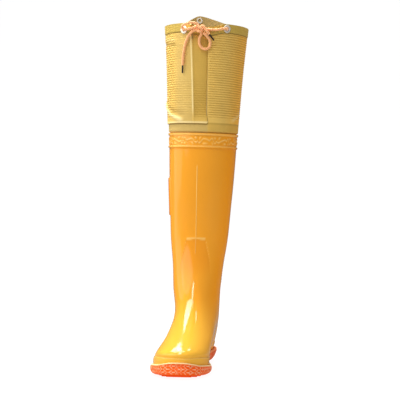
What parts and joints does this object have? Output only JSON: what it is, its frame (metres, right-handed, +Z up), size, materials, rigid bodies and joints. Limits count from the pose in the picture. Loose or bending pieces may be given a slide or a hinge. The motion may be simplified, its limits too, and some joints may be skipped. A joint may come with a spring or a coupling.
{
  "type": "hip wader",
  "caption": "Moulded knee boot with a soft sole and a thigh-high cloth cuff drawn in by a cord; a right boot, standing empty on its sole",
  "frame": {"origin": "middle of the heel's flat tread, on the floor", "axes": "+Z up, toe towards -Y, the leg's inner side towards +X"},
  "size_m": [0.1539, 0.3291, 0.6477],
  "materials": {
    "shell": "high-gloss amber moulded soft vinyl",
    "sole": "orange moulded soft sole with a leaf relief on its side",
    "insole": "plain knitted insole",
    "cloth": "khaki rubberised cloth with fine level ribs",
    "eyelet": "plated metal",
    "cord": "peach braided cord",
    "aglet": "dark heat-shrunk tip"
  },
  "bodies": {
    "root": {"upper": "shell", "outsole": "sole", "insole": "insole", "cuff": "cloth", "eyelet_lateral": "eyelet", "eyelet_medial": "eyelet", "eyelet_back": "eyelet", "lace_bar": "cord", "lace_knot": "cord", "lace_loop_low": "cord", "lace_loop_side": "cord", "lace_end_long": "cord", "lace_end_short": "cord", "aglet_long": "aglet", "aglet_short": "aglet"}
  },
  "joints": []
}
